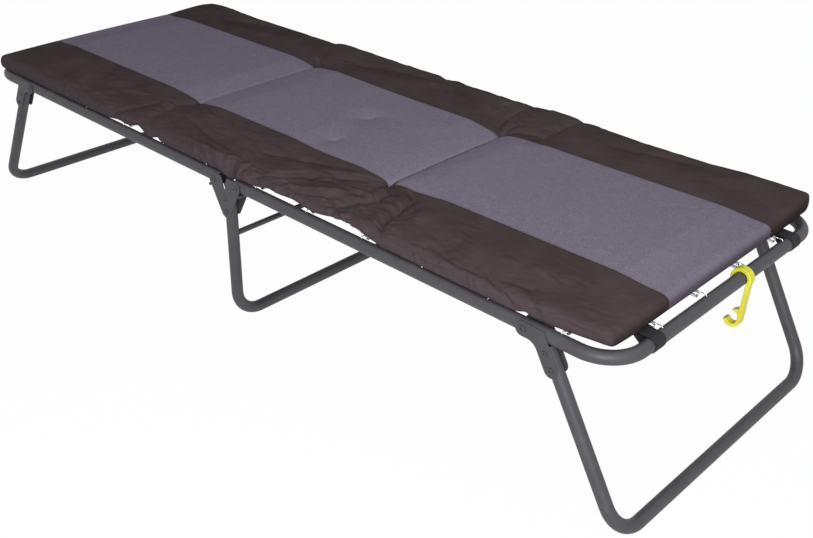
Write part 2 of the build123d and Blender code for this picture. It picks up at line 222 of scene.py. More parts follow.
# ---- Tube plugs ------------------------------------------------------------------------------------
# Moulded black polyethylene caps, a push fit in the open ends of the frame tubes above the middle leg.
# A thin flange covers the cut edge of each tube.
plug_colour = "#1b1b1d"
plug_scuffed = "#2c2c2f"
plug = Finish("plug_black", specular_ior_level=0.4)
scuffs = plug.noise(0.004, 4.0).rise(0.45, 0.75)
plug_face = plug.mix(scuffs, plug_colour, plug_scuffed)
plug_black = plug.surface(plug_face, 0.45 + scuffs * 0.2, plug.bump(scuffs, 0.0001))
paint(["left_frame_plugs", "right_frame_plugs"], plug_black)

# ---- Storage hook ----------------------------------------------------------------------------------
# A clip injection-moulded in lime polypropylene. It snaps over the end tube and holds the folded cot
# shut. The moulding is satin, with soft flow marks and a little grime where fingers press it.
hook_lime = "#d9d630"
hook_deep = "#c6c228"
hook_grime = "#958f36"
lime = Finish("hook_lime", specular_ior_level=0.5, coat_weight=0.15, coat_roughness=0.3)
flow = lime.noise(0.02, 2.0, lime.stretched(1, 1, 0.3)).rise(0.3, 0.7)
grime = lime.noise(0.006, 4.0).rise(0.6, 0.85)
lime_body = lime.mix(flow, hook_lime, hook_deep)
lime_body = lime.mix(grime * 0.25, lime_body, hook_grime)
lime_relief = lime.bump(lime.noise(0.0007), 0.00004)
paint(["storage_hook"], lime.surface(lime_body, 0.38 + grime * 0.2, lime_relief))

# ---- Springs ---------------------------------------------------------------------------------------
# Extension springs, close-wound from bright zinc-plated wire, with a hook at each end: one through a
# hole in the tube, and one through an eyelet of the sheet. They keep the sheet stretched.
wire_radius = 0.001
coil_radius = 0.006
coil_from_tube = 0.018
coil_length = 0.024
tube_hook_centre = 0.008
tube_hook_turn = radians(155)
eyelet_hook_centre = 0.04485
wire_sides = 6
coil_steps = 16
hook_steps = 10
side_springs, end_springs = 6, 4
zinc_bright = "#dee1e3"
zinc_dull = "#b4b7ba"

plated = Finish("spring_zinc", metallic=1.0)
tarnish = plated.noise(0.004, 3.0).rise(0.4, 0.75)
zinc_face = plated.mix(tarnish, zinc_bright, zinc_dull)
drawn_lines = plated.bump(plated.noise(0.0006), 0.00003, 0.6)
zinc = plated.surface(zinc_face, 0.28 + tarnish * 0.2, drawn_lines)


def wire(path, radius, sides):
    """Round wire along a line of points, as corners and faces of a mesh."""
    path = [Vector(p) for p in path]
    corners, faces = [], []
    across = Vector((0, 1, 0))
    for i, point in enumerate(path):
        along = (path[min(i + 1, len(path) - 1)] - path[max(i - 1, 0)]).normalized()
        across = (across - along * across.dot(along)).normalized()
        over = along.cross(across)
        for k in range(sides):
            turn = 2 * pi * k / sides
            corners.append(point + (across * cos(turn) + over * sin(turn)) * radius)
    for i in range(len(path) - 1):
        for k in range(sides):
            a, b = i * sides + k, i * sides + (k + 1) % sides
            faces.append((a, b, b + sides, a + sides))
    last = len(corners) - sides
    faces.append(tuple(reversed(range(sides))))
    faces.append(tuple(range(last, last + sides)))
    return corners, faces


def spring_line():
    """Centre line of one spring, beside a tube along Y and with the sheet towards +X."""
    line = []
    for i in range(hook_steps + 1):
        turn = tube_hook_turn * (1 - i / hook_steps)
        line.append((tube_hook_centre - coil_radius * sin(turn), 0, coil_radius * cos(turn)))
    turns = coil_length / (2 * wire_radius) - 1
    start = coil_from_tube + wire_radius
    for i in range(int(turns * coil_steps) + 1):
        turn = 2 * pi * i / coil_steps
        x = start + 2 * wire_radius * i / coil_steps
        line.append((x, coil_radius * sin(turn), coil_radius * cos(turn)))
    for i in range(hook_steps + 1):
        turn = pi * i / hook_steps
        line.append((eyelet_hook_centre + coil_radius * sin(turn), 0, coil_radius * cos(turn)))
    return line


def new_piece(name, corners, faces, material, smooth=True):
    """A mesh object in the frame's own place."""
    mesh = bpy.data.meshes.new(name)
    mesh.from_pydata([tuple(c) for c in corners], [], faces)
    mesh.materials.append(material)
    if smooth:
        mesh.polygons.foreach_set("use_smooth", [True] * len(mesh.polygons))
    piece = bpy.data.objects.new(name, mesh)
    bpy.context.scene.collection.objects.link(piece)
    return piece


def joined(parts):
    """Several sets of corners and faces as one set."""
    corners, faces = [], []
    for part_corners, part_faces in parts:
        first = len(corners)
        corners += part_corners
        faces += [tuple(first + i for i in face) for face in part_faces]
    return corners, faces


def placed(part, places):
    """Copies of one part at several places, as one set of corners and faces."""
    return joined([([place @ Vector(c) for c in part[0]], part[1]) for place in places])


def evenly(first, last, count):
    """Numbers from the first to the last, equally far apart."""
    return [first + (last - first) * i / (count - 1) for i in range(count)]


def spring_places(half):
    """Where the springs of one half sit: those along its sides, and those at its end."""
    coil_skin = coil_radius + wire_radius
    side_low, side_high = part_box(half + "_side_springs")
    end_low, end_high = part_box(half + "_end_springs")
    tube_low, tube_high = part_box(half + "_frame_tube")
    tube_radius = (tube_high.z - tube_low.z) / 2
    height = (side_low.z + side_high.z) / 2
    side_y = tube_high.y - tube_radius
    sides = []
    for x in evenly(side_low.x + coil_skin, side_high.x - coil_skin, side_springs):
        sides.append(Matrix.Translation((x, -side_y, height)) @ Matrix.Rotation(pi / 2, 4, "Z"))
        sides.append(Matrix.Translation((x, side_y, height)) @ Matrix.Rotation(-pi / 2, 4, "Z"))
    outward = 1 if half == "right" else -1
    end_x = outward * (max(abs(tube_low.x), abs(tube_high.x)) - tube_radius)
    facing = Matrix.Rotation(pi if outward > 0 else 0, 4, "Z")
    ends = []
    for y in evenly(end_low.y + coil_skin, end_high.y - coil_skin, end_springs):
        ends.append(Matrix.Translation((end_x, y, height)) @ facing)
    return sides, ends


one_spring = wire(spring_line(), wire_radius, wire_sides)
for half in ("left", "right"):
    for kind, places in zip(("side", "end"), spring_places(half)):
        springs = new_piece(f"{half}_{kind}_coil_springs", *placed(one_spring, places), zinc)
        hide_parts(f"{half}_{kind}_springs")
        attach(springs, f"{half}_frame")

# ---- Sheet -----------------------------------------------------------------------------------------
# The sheet is tightly woven black polyester, hung on the springs in two halves that meet at the frame's
# fold. Its edge is folded over and sewn twice, and the pull of each spring scallops it a little.
sheet_thickness = 0.0012
sheet_hem = 0.022
hem_thickness = 0.002
sheet_scallop = 0.0045
sheet_corner = 0.04
sheet_cell = 0.006
sheet_pitch = 0.0011
sheet_black = "#1f1e21"
sheet_worn = "#2f2e32"
sheet_thread = "#4b4a4e"
hem_stitches = (0.0065, 0.0195)
hem_stitch_pitch = 0.0035
hem_stitch_half = 0.0005
stitch_gap = 0.3

woven = Finish("sheet_weave", specular_ior_level=0.3, sheen_weight=0.15)


def wave(finish, place, pitch, direction):
    """Even ridges across one direction, from 0 to 1. At a scale of 1 they repeat every pi / 10."""
    settings = {"bands_direction": direction}
    return finish.node("TexWave", settings, {"Vector": place, "Scale": pi / 10 / pitch, "Distortion": 0.4})


def plain_weave(finish, place, pitch):
    """Height of a plain weave: warp and weft ridges, with the threads' own unevenness."""
    warp = wave(finish, place, pitch, "X")
    weft = wave(finish, place, pitch, "Y")
    slub = finish.noise(pitch * 3, 2.0, place)
    return warp * 0.4 + weft * 0.4 + slub * 0.5


sheet_threads = plain_weave(woven, woven.place, sheet_pitch)
sheet_wear = woven.noise(0.08, 4.0).rise(0.4, 0.75)
sheet_face = woven.mix(sheet_wear * 0.6 + sheet_threads * 0.15, sheet_black, sheet_worn)
sheet_corner_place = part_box("right_deck")[1]
hem_seam = 0.0
for direction, crossing, edge in (("X", "Y", sheet_corner_place.y), ("Y", "X", sheet_corner_place.x)):
    outwards = abs(woven.node("SeparateXYZ", {}, {"Vector": woven.place}, crossing))
    dashes = wave(woven, woven.place, hem_stitch_pitch, direction) > stitch_gap
    for inset in hem_stitches:
        hem_seam = (abs(outwards - (edge - inset)) < hem_stitch_half) * dashes + hem_seam
sheet_face = woven.mix(hem_seam * 0.6, sheet_face, sheet_thread)
sheet_relief = woven.bump(hem_seam, 0.0003, under=woven.bump(sheet_threads, 0.00025))
sheet_weave = woven.surface(sheet_face, 0.7, sheet_relief)


def sheet_half(half, side_marks, end_marks):
    """Half of the sheet as a slab of cells, thicker along its hem, with a scalloped edge."""
    low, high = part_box(half + "_deck")
    outward = 1 if half == "right" else -1
    end = max(abs(low.x), abs(high.x))
    side = high.y
    middle = (low.z + high.z) / 2

    def edge_pull(along, springs):
        """How far the edge is drawn in between the springs."""
        gap = min(abs(along - spring) for spring in springs)
        return sheet_scallop * sin(pi / 2 * min(1.0, 2 * gap / abs(springs[1] - springs[0])))

    columns = int(end / sheet_cell)
    rows = int(2 * side / sheet_cell)
    corners, faces = [], []
    for layer in (-1, 1):
        for i in range(columns + 1):
            for j in range(rows + 1):
                x, y = end * i / columns, -side + 2 * side * j / rows
                over_x, over_y = x - (end - sheet_corner), abs(y) - (side - sheet_corner)
                if over_x > 0 and over_y > 0:
                    reach = max(over_x, over_y) / hypot(over_x, over_y)
                    x = end - sheet_corner + over_x * reach
                    y = (side - sheet_corner + over_y * reach) * (1 if y > 0 else -1)
                from_edge = min(end - x, side - abs(y))
                share_y, share_x = abs(y) / side, x / end
                y -= edge_pull(x, side_marks) * share_y**6 * (1 if y > 0 else -1)
                x -= edge_pull(y, end_marks) * share_x**12
                thickness = hem_thickness if from_edge < sheet_hem else sheet_thickness
                corners.append((outward * x, y, middle + layer * thickness / 2))
    count = (columns + 1) * (rows + 1)

    def at(layer, i, j):
        return layer * count + i * (rows + 1) + j

    for i in range(columns):
        for j in range(rows):
            square = (at(1, i, j), at(1, i + 1, j), at(1, i + 1, j + 1), at(1, i, j + 1))
            under = tuple(reversed([c - count for c in square]))
            faces += [square, under]
    rim = [(i, 0) for i in range(columns)] + [(columns, j) for j in range(rows)]
    rim += [(i, rows) for i in range(columns, 0, -1)] + [(0, j) for j in range(rows, 0, -1)]
    for (i, j), (k, m) in zip(rim, rim[1:] + rim[:1]):
        faces.append((at(1, i, j), at(0, i, j), at(0, k, m), at(1, k, m)))
    if outward < 0:
        faces = [tuple(reversed(face)) for face in faces]
    return corners, faces


for half in ("left", "right"):
    sides, ends = spring_places(half)
    side_marks = sorted({round(abs(place.translation.x), 6) for place in sides})
    end_marks = [place.translation.y for place in ends]
    slab = sheet_half(half, side_marks, end_marks)
    cloth = new_piece(f"{half}_sheet", *slab, sheet_weave, smooth=False)
    low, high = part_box(half + "_deck")
    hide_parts(half + "_deck")
    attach(cloth, f"{half}_frame")
    springs = [f"{half}_side_coil_springs", f"{half}_end_coil_springs"]

# ---- Eyelets ---------------------------------------------------------------------------------------
# Nickel-plated brass eyelets, one for each spring, rolled over through the doubled hem of the sheet.
# The spring hooks rub their plating dull in places.
nickel_bright = "#b9bbbd"
nickel_dull = "#85878a"
nickel = Finish("eyelet_nickel", metallic=1.0)
rub = nickel.noise(0.003, 3.0).rise(0.4, 0.7)
nickel_face = nickel.mix(rub, nickel_bright, nickel_dull)
nickel_relief = nickel.bump(nickel.noise(0.0008), 0.00003)
paint(["left_eyelets", "right_eyelets"], nickel.surface(nickel_face, 0.3 + rub * 0.2, nickel_relief))

# ---- Pad -------------------------------------------------------------------------------------------
# A polyester cover over three foam sections. The sections meet at two sewn creases, and the middle
# one folds at its own middle. Brown-black borders wrap the sides, and a purple-grey panel runs between.
panel_half_width = 0.172
near_seam_shift = [(-0.92, -0.004), (-0.75, -0.009), (-0.5, -0.008), (-0.08, -0.01), (0.3, -0.005)]
near_seam_shift += [(0.6, 0.0), (0.92, 0.003)]
far_seam_shift = [(-0.92, -0.002), (-0.5, 0.0), (-0.29, 0.002), (0.0, -0.008), (0.31, -0.005)]
far_seam_shift += [(0.6, 0.001), (0.92, 0.011)]
pad_cell = 0.0075
border_cell = 0.0065
panel_cell = 0.0095
pad_wall_cell = 0.005
crease_seam = 0.004
foot_clearance = 0.0006

# The rounded edges: how far in each starts, and how far below the top or above the foot it ends. The
# right end is fuller at its far corner, and the corners are drawn in by their own amounts.
pad_rim_down = 0.011
rim_drop_share = 0.25
pad_foot_in = 0.004
pad_foot_up = 0.007
end_foot_up = 0.009
end_foot_reach = 0.02
pad_end_in = {-1: 0.011, 1: 0.02}
far_corner_fill = 0.01
pad_end_foot = 0.012
corner_pulls = {(-1, -1): 0.001, (-1, 1): 0.014, (1, -1): 0.004, (1, 1): 0.003}
corner_reach = 0.04

# The crown, the creases (each with its depth and its reach to either side), and the waist and the sag
# of the cover over the frame's fold
pad_crown = 0.004
crease_pinches = {-1: (0.0045, 0.03, 0.024), 1: (0.0105, 0.05, 0.022)}
border_crease_share = 0.3
border_blend = 0.05
waist_pull = 0.014
waist_reach = 0.02
waist_level, waist_rise = 0.15, 0.4
fold_sag = 0.007
fold_sag_reach = 0.025
lift_in = 0.4

# How the cover swells as cloth: its spare width, its pressure, how far a point may move, and how near to
# the creases and ends it is held, or is looser or tighter
cover_slack = -0.045
swell_pressure = 3.5
swell_steps = 20
swell_cap = 0.006
crease_held = 0.005
end_held, end_hold = 0.045, 0.92
loose_by_crease = 0.14
tight_by_end = 0.1

# How far in the shoulder of each side starts, because the foam stops short of the loose cover, how far
# each side stands out past its straight line, and how high the far border puffs up, along the pad
near_shoulder = [(-0.92, 0.014), (-0.73, 0.03), (-0.5, 0.046), (-0.3, 0.046), (-0.1, 0.036), (0.1, 0.05)]
near_shoulder += [(0.3, 0.07), (0.42, 0.042), (0.6, 0.026), (0.92, 0.016)]
far_shoulder = [(-0.92, 0.014), (-0.6, 0.018), (-0.3, 0.024), (0.3, 0.024), (0.5, 0.018), (0.92, 0.012)]
near_stand = [(-0.92, 0.002), (-0.7, 0.0), (0.75, 0.0), (0.92, -0.005)]
near_foot_in = [(0.73, 0.0), (0.82, 0.007), (0.88, 0.014), (0.92, 0.016)]
far_stand = [(-0.92, -0.002), (-0.68, -0.004), (-0.43, -0.006), (-0.36, 0.003), (0.12, 0.008)]
far_stand += [(0.26, 0.004), (0.32, 0.009), (0.55, 0.006), (0.92, 0.012)]
far_puff = [(-0.92, 0.008), (-0.72, 0.003), (-0.5, 0.006), (-0.4, 0.006), (-0.36, 0.01), (-0.06, 0.008)]
far_puff += [(-0.01, 0.011), (0.07, 0.006), (0.26, 0.008), (0.3, 0.013), (0.36, 0.013), (0.41, 0.009)]
far_puff += [(0.55, 0.007), (0.71, 0.007), (0.78, 0.012), (0.92, 0.012)]

# Where the foot of the near and far side rides up off the tube: middle, half length, rise
near_lifts = [(-0.395, 0.022, 0.0055), (-0.325, 0.024, 0.013), (-0.25, 0.01, 0.008), (0.12, 0.025, 0.008)]
near_lifts += [(0.19, 0.04, 0.01), (0.335, 0.055, 0.016), (0.757, 0.008, 0.006)]
far_lifts = [(-0.72, 0.06, 0.006), (-0.2, 0.09, 0.008), (0.24, 0.05, 0.01), (0.63, 0.07, 0.006)]

# Folds in the cover as lines of (along, across): across runs on down the walls past the pad's edge.
# Each has a depth and a reach to its sides, and a fold of less than no depth stands up as a ridge.
cover_folds = [
    ([(0.3, -0.172), (0.333, -0.205), (0.335, -0.25), (0.31, -0.295), (0.28, -0.345)], 0.008, 0.01),
    ([(0.36, -0.18), (0.388, -0.2), (0.397, -0.25), (0.405, -0.306), (0.43, -0.355)], 0.011, 0.0075),
    ([(0.3, -0.172), (0.33, -0.188), (0.36, -0.216)], 0.0035, 0.007),
    ([(0.1, -0.31), (0.14, -0.27), (0.18, -0.228), (0.24, -0.195), (0.29, -0.176)], -0.0035, 0.009),
    ([(0.12, -0.322), (0.17, -0.274), (0.22, -0.232), (0.28, -0.2)], 0.0035, 0.008),
    ([(0.0, -0.27), (0.06, -0.242), (0.14, -0.212), (0.22, -0.188)], 0.003, 0.01),
    ([(0.17, -0.335), (0.24, -0.29), (0.3, -0.25)], -0.0035, 0.009),
    ([(0.2, -0.345), (0.25, -0.312), (0.3, -0.29)], 0.003, 0.008),
    ([(0.33, -0.3), (0.36, -0.33), (0.4, -0.36)], -0.004, 0.012),
    ([(0.3, 0.172), (0.286, 0.178), (0.266, 0.205), (0.256, 0.235), (0.255, 0.3)], 0.008, 0.009),
    ([(0.301, 0.172), (0.325, 0.198), (0.366, 0.209), (0.4, 0.206)], 0.004, 0.007),
    ([(0.386, 0.2), (0.385, 0.263), (0.391, 0.317), (0.395, 0.36)], 0.0045, 0.009),
    ([(-0.3, 0.172), (-0.31, 0.19), (-0.335, 0.212)], 0.007, 0.009),
    ([(-0.31, 0.19), (-0.35, 0.25), (-0.405, 0.35)], 0.0045, 0.013),
    ([(-0.3, -0.172), (-0.32, -0.23), (-0.31, -0.3), (-0.27, -0.36)], 0.0035, 0.014),
    ([(-0.364, -0.244), (-0.385, -0.31), (-0.4, -0.345), (-0.43, -0.372)], 0.005, 0.011),
    ([(-0.53, -0.322), (-0.5, -0.29), (-0.452, -0.243)], -0.003, 0.018),
    ([(-0.6, -0.3), (-0.52, -0.33), (-0.44, -0.345)], 0.0035, 0.012),
    ([(-0.8, -0.3), (-0.72, -0.325), (-0.66, -0.335)], 0.003, 0.01),
    ([(-0.2, -0.26), (-0.1, -0.29), (0.0, -0.3)], 0.003, 0.011),
    ([(-0.16, -0.32), (-0.06, -0.33), (0.03, -0.322)], -0.0025, 0.009),
    ([(0.53, -0.312), (0.6, -0.33), (0.67, -0.33)], 0.0035, 0.01),
    ([(0.44, -0.343), (0.5, -0.352), (0.56, -0.345)], 0.003, 0.008),
    ([(0.5, -0.366), (0.57, -0.36), (0.64, -0.35)], 0.003, 0.007),
    ([(0.655, -0.312), (0.69, -0.336), (0.718, -0.354), (0.745, -0.372)], 0.006, 0.0065),
    ([(0.69, -0.316), (0.73, -0.311), (0.765, -0.292)], 0.003, 0.006),
    ([(0.742, -0.306), (0.77, -0.33), (0.778, -0.366)], 0.0035, 0.007),
    ([(0.768, -0.364), (0.79, -0.347), (0.82, -0.338)], 0.003, 0.006),
    ([(0.82, -0.352), (0.865, -0.356), (0.9, -0.354)], 0.0022, 0.007),
    ([(0.035, 0.012), (0.045, 0.03), (0.052, 0.05)], 0.0045, 0.0065),
    ([(0.072, -0.122), (0.078, -0.105), (0.082, -0.088)], 0.004, 0.0065),
    ([(-0.2, 0.25), (-0.1, 0.29), (0.0, 0.3)], 0.003, 0.014),
    ([(0.52, 0.27), (0.62, 0.3), (0.7, 0.3)], 0.0025, 0.014),
    ([(-0.75, 0.26), (-0.66, 0.3), (-0.56, 0.31)], 0.003, 0.014),
]
waist_pleats = [(-0.118, -0.335, 0.002), (-0.084, -0.322, 0.0034), (-0.052, -0.33, 0.0026)]
waist_pleats += [(-0.023, -0.312, 0.0036), (0.009, -0.327, 0.0024), (0.034, -0.305, 0.0034)]
waist_pleats += [(0.071, -0.325, 0.003), (0.112, -0.333, 0.002)]
for along, start, depth in waist_pleats:
    pleat = [(along * 1.5, start), (along * 1.15, -0.35), (along * 0.9, -0.372)]
    cover_folds.append((pleat, depth, 0.0055))

# How loose the cover is along each side, which sets how deep its small wrinkles are, and the length and
# width of each kind of wrinkle: those that lie along the top, those that stand on the walls, and fine ones
near_looseness = [(-0.92, 0.1), (-0.65, 0.3), (-0.4, 1.0), (-0.12, 0.8), (0.0, 1.1), (0.3, 1.2)]
near_looseness += [(0.45, 0.9), (0.6, 0.65), (0.8, 0.7), (0.92, 0.4)]
far_looseness = [(-0.92, 0.2), (-0.5, 0.3), (-0.3, 0.5), (0.0, 0.4), (0.3, 0.6), (0.45, 0.3), (0.92, 0.2)]
wrinkle_depth = 0.004
lying_wrinkle = (0.07, 0.026)
standing_wrinkle = (0.021, 0.06)
fine_wrinkle = (0.022, 0.011)
standing_share, fine_share = 0.8, 0.4
drift_size, drift_reach = (0.07, 0.05), 0.016
calm_size = (0.16, 0.1)

# The sewn lines: how deep they pull the cover in, and how far to their sides. The folds are pressed in
# once more after the cover has swollen, by a share of their depth and reach.
seam_sink, seam_reach = 0.0007, 0.002
crease_sinks, crease_reach = (0.0006, 0.004), 0.0024
seam_run_out = 0.012
pressed_share, pressed_reach = 0.45, 0.55

end_low, end_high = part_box("right_pad_end_section")
middle_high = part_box("right_pad_middle_half")[1]
tube_low, tube_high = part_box("right_frame_tube")
pad_end, pad_side, pad_top = end_high.x, end_high.y, end_high.z
crease_x = (middle_high.x + end_low.x) / 2
foot = tube_high.z + foot_clearance


def stations(marks, cells):
    """Places from the first mark to the last, about a cell apart, with one on each mark."""
    places = [marks[0]]
    for start, stop, cell in zip(marks, marks[1:], cells):
        count = max(1, round((stop - start) / cell))
        places += [start + (stop - start) * i / count for i in range(1, count + 1)]
    return places


def lattice_shell(xs, ys, zs):
    """The outer skin of a box of cells, as corners and faces that share their edges."""
    index, corners, faces = {}, [], []
    last = (len(xs) - 1, len(ys) - 1, len(zs) - 1)

    def corner(i, j, k):
        if (i, j, k) not in index:
            index[(i, j, k)] = len(corners)
            corners.append((xs[i], ys[j], zs[k]))
        return index[(i, j, k)]

    def skin(axis, level):
        a, b = [n for n in range(3) if n != axis]
        for m in range(last[a]):
            for n in range(last[b]):
                loop = []
                for step_a, step_b in ((0, 0), (1, 0), (1, 1), (0, 1)):
                    place = [0, 0, 0]
                    place[axis], place[a], place[b] = level, m + step_a, n + step_b
                    loop.append(corner(*place))
                outward = (level > 0) != (axis == 1)
                faces.append(tuple(loop if outward else reversed(loop)))

    for axis in range(3):
        skin(axis, 0)
        skin(axis, last[axis])
    return np.array(corners), faces


def bell(distance, reach):
    """1 at no distance, falling away smoothly over the reach."""
    return np.exp(-((distance / reach) ** 2))


def set_along(x, marks):
    """A value that is set at some places along the pad, and runs straight between them."""
    return np.interp(x, *zip(*marks))


def cloth_place(flat):
    """Place on the cover's cloth: along and across its top, and on down the walls and ends."""
    down = pad_top - flat[:, 2]
    on_wall = np.abs(flat[:, 1]) > pad_side - 1e-6
    on_end = np.abs(flat[:, 0]) > pad_end - 1e-6
    along = flat[:, 0] + np.sign(flat[:, 0]) * np.where(on_end & ~on_wall, down, 0)
    across = flat[:, 1] + np.sign(flat[:, 1]) * np.where(on_wall, down, 0)
    return np.stack([along, across, np.zeros(len(flat))], axis=1)


def fold_depth(cloth, line, depth, reach):
    """How far a fold sinks each point of the cover: most along its line, and nothing past its ends."""
    here = cloth[:, :2]
    sunk = np.zeros(len(cloth))
    lengths = [hypot(b[0] - a[0], b[1] - a[1]) for a, b in zip(line, line[1:])]
    before = 0.0
    for (a, b), length in zip(zip(line, line[1:]), lengths):
        step = np.subtract(b, a)
        share = np.clip((here - a) @ step / length**2, 0, 1)
        away = np.linalg.norm(here - (np.array(a) + share[:, None] * step), axis=1)
        run = (before + share * length) / sum(lengths)
        taper = np.sin(pi * np.clip(0.12 + 0.88 * run, 0, 1)) ** 0.6
        sunk = np.maximum(sunk, taper * bell(away, reach))
        before += length
    return sunk * depth


def lifted(x, lifts):
    """How far the foot rides up at each place along the side."""
    return sum(rise * bell(x - middle, half_length) ** 0.7 for middle, half_length, rise in lifts)


def pad_form(flat):
    """Shape the flat box of the cover into the pad: shoulders, crown, creases, waist and lifts."""
    x, y, z = flat.T.copy()
    level = np.clip((z - foot) / (pad_top - foot), 0, 1)
    near, side = y < 0, np.sign(y)
    shoulder = np.where(near, set_along(x, near_shoulder), set_along(x, far_shoulder))
    rim_down = pad_rim_down + rim_drop_share * (shoulder - min(shoulder))
    foot_up = pad_foot_up + end_foot_up * np.clip(1 - (pad_end - np.abs(x)) / end_foot_reach, 0, 1)
    core_z = np.clip(z, foot + foot_up, pad_top - rim_down)
    upper = z > core_z
    rim_in = np.where(upper, shoulder, pad_foot_in)
    right_end_in = pad_end_in[1] - far_corner_fill * np.clip(y / pad_side, 0, 1) ** 3
    end_in = np.where(z < core_z, pad_end_foot, np.where(x < 0, pad_end_in[-1], right_end_in))
    core_x = np.clip(x, end_in - pad_end, pad_end - end_in)
    core_y = np.clip(y, rim_in - pad_side, pad_side - rim_in)
    rim_z = np.where(upper, rim_down, foot_up)
    out = np.stack([(x - core_x) / end_in, (y - core_y) / rim_in, (z - core_z) / rim_z])
    out /= np.maximum(np.linalg.norm(out, axis=0), 1e-9)
    x = core_x + out[0] * end_in
    y = core_y + out[1] * rim_in
    z = core_z + out[2] * rim_z

    z -= level * pad_crown * (y / pad_side) ** 2
    far_share = np.clip((y - panel_half_width) / (pad_side - panel_half_width), 0, 1)
    z += level * set_along(x, far_puff) * np.sin(pi / 2 * far_share)
    rim = np.clip(np.abs(y) / pad_side, 0, 1) ** 8
    border = np.clip((np.abs(y) - panel_half_width) / border_blend, 0, 1)
    for way, (depth, inner_reach, outer_reach) in crease_pinches.items():
        outwards = way * x - crease_x
        reach = np.where(outwards < 0, inner_reach, outer_reach)
        lean = np.clip(1 - np.abs(outwards) / reach, 0, 1)
        round_share = np.where(outwards < 0, 1, 0.6)
        pinch = depth * (round_share * (1 - np.sqrt(1 - lean**2)) + (1 - round_share) * lean**4)
        z -= level * pinch * (1 - border * (1 - border_crease_share))
    to_far = np.clip(0.5 + 0.5 * y / panel_half_width, 0, 1)
    shift = set_along(x, near_seam_shift) * (1 - to_far) + set_along(x, far_seam_shift) * to_far
    y += shift * (1 - (y / pad_side) ** 2)
    y += side * rim * np.where(near, set_along(x, near_stand), set_along(x, far_stand))
    y -= side * rim * waist_pull * bell(x, waist_reach) * np.clip((level - waist_level) / waist_rise, 0, 1)
    y += np.where(near, set_along(x, near_foot_in), 0) * rim * (1 - level)
    z -= fold_sag * np.clip(1 - (x / fold_sag_reach) ** 4, 0, 1) * rim * (1 - level)
    lift = np.where(near, lifted(x, near_lifts), lifted(x, far_lifts)) * rim
    z += lift * (1 - level) ** 1.5
    y -= side * lift * (1 - level) * lift_in
    for (end_way, side_way), pull in corner_pulls.items():
        near_corner = bell(np.hypot(end_way * x - pad_end, side_way * y - pad_side), corner_reach)
        x -= end_way * pull * near_corner
        y -= side_way * pull * near_corner
    return np.stack([x, y, z], axis=1)


def swollen(piece, pinned, fullness):
    """Inflate the cover as cloth, with some of its points held, and give where the points come to."""
    held = piece.vertex_groups.new(name="held")
    full = piece.vertex_groups.new(name="full")
    for i, (hold, slack) in enumerate(zip(pinned, fullness)):
        held.add([i], float(hold), "REPLACE")
        full.add([i], float(slack), "REPLACE")
    cloth = piece.modifiers.new("cover", "CLOTH")
    settings = cloth.settings
    settings.quality = 5
    settings.mass = 0.25
    settings.tension_stiffness = settings.compression_stiffness = 25
    settings.shear_stiffness = 6
    settings.bending_stiffness = 0.3
    settings.use_pressure = True
    settings.uniform_pressure_force = swell_pressure
    settings.effector_weights.gravity = 0
    settings.vertex_group_mass = "held"
    settings.vertex_group_shrink = "full"
    settings.shrink_min = 0.0
    settings.shrink_max = cover_slack
    cloth.collision_settings.use_collision = False
    scene = bpy.context.scene
    for step in range(1, swell_steps + 1):
        scene.frame_set(step)
    shaped = piece.evaluated_get(bpy.context.evaluated_depsgraph_get()).data
    points = np.zeros(len(piece.data.vertices) * 3)
    shaped.vertices.foreach_get("co", points)
    piece.modifiers.clear()
    scene.frame_set(1)
    return points.reshape(-1, 3)


def read_points(mesh, what):
    """One vector for each point of a mesh, as rows of numbers."""
    rows = np.zeros(len(mesh.vertices) * 3)
    mesh.vertices.foreach_get(what, rows)
    return rows.reshape(-1, 3)


seams_x = [-crease_x, crease_x]
marks_x = [-pad_end, -crease_x - crease_seam, -crease_x, -crease_x + crease_seam, 0.0]
marks_x += [-place for place in reversed(marks_x[:-1])]
marks_y = [-pad_side, -panel_half_width, panel_half_width, pad_side]
flat_cover, cover_faces = lattice_shell(
    stations(marks_x, [pad_cell] * 8),
    stations(marks_y, [border_cell, panel_cell, border_cell]),
    stations([foot, pad_top], [pad_wall_cell]),
)
cloth_cover = cloth_place(flat_cover)
level_cover = (flat_cover[:, 2] - foot) / (pad_top - foot)
depths = sum(fold_depth(cloth_cover, *fold) for fold in cover_folds) * np.clip(level_cover / 0.3, 0, 1)
pad_points = pad_form(flat_cover)
bare_cover = new_piece("bare_cover", pad_points, cover_faces, zinc)
pad_points = pad_points - read_points(bare_cover.data, "normal") * depths[:, None]
bpy.data.objects.remove(bare_cover)
along, across = np.abs(flat_cover[:, 0]), np.abs(flat_cover[:, 1])
top_panel = (across < panel_half_width + 0.001) & (level_cover > 0.9)
creases = bell(along - crease_x, crease_held) * top_panel
foot_line = (level_cover < 0.01) * 1.0
folds = np.clip(np.abs(depths) / 0.004, 0, 0.9)
ends = end_hold * bell(along - pad_end, end_held)
pinned = np.maximum.reduce([creases, foot_line, folds, ends])
borders = np.clip((across - panel_half_width) / 0.04, 0, 1)
by_crease = bell(along - crease_x, loose_by_crease)
by_end = bell(along - pad_end, tight_by_end)
fullness = borders * (0.5 + 0.5 * by_crease) * (1 - by_end) * (level_cover > 0.01)
cover = new_piece("cover", pad_points, cover_faces, zinc)
moved = swollen(cover, pinned, fullness) - pad_points
bpy.data.objects.remove(cover)
far = np.linalg.norm(moved, axis=1, keepdims=True)
pad_points = pad_points + moved * np.minimum(1, swell_cap / np.maximum(far, 1e-9))
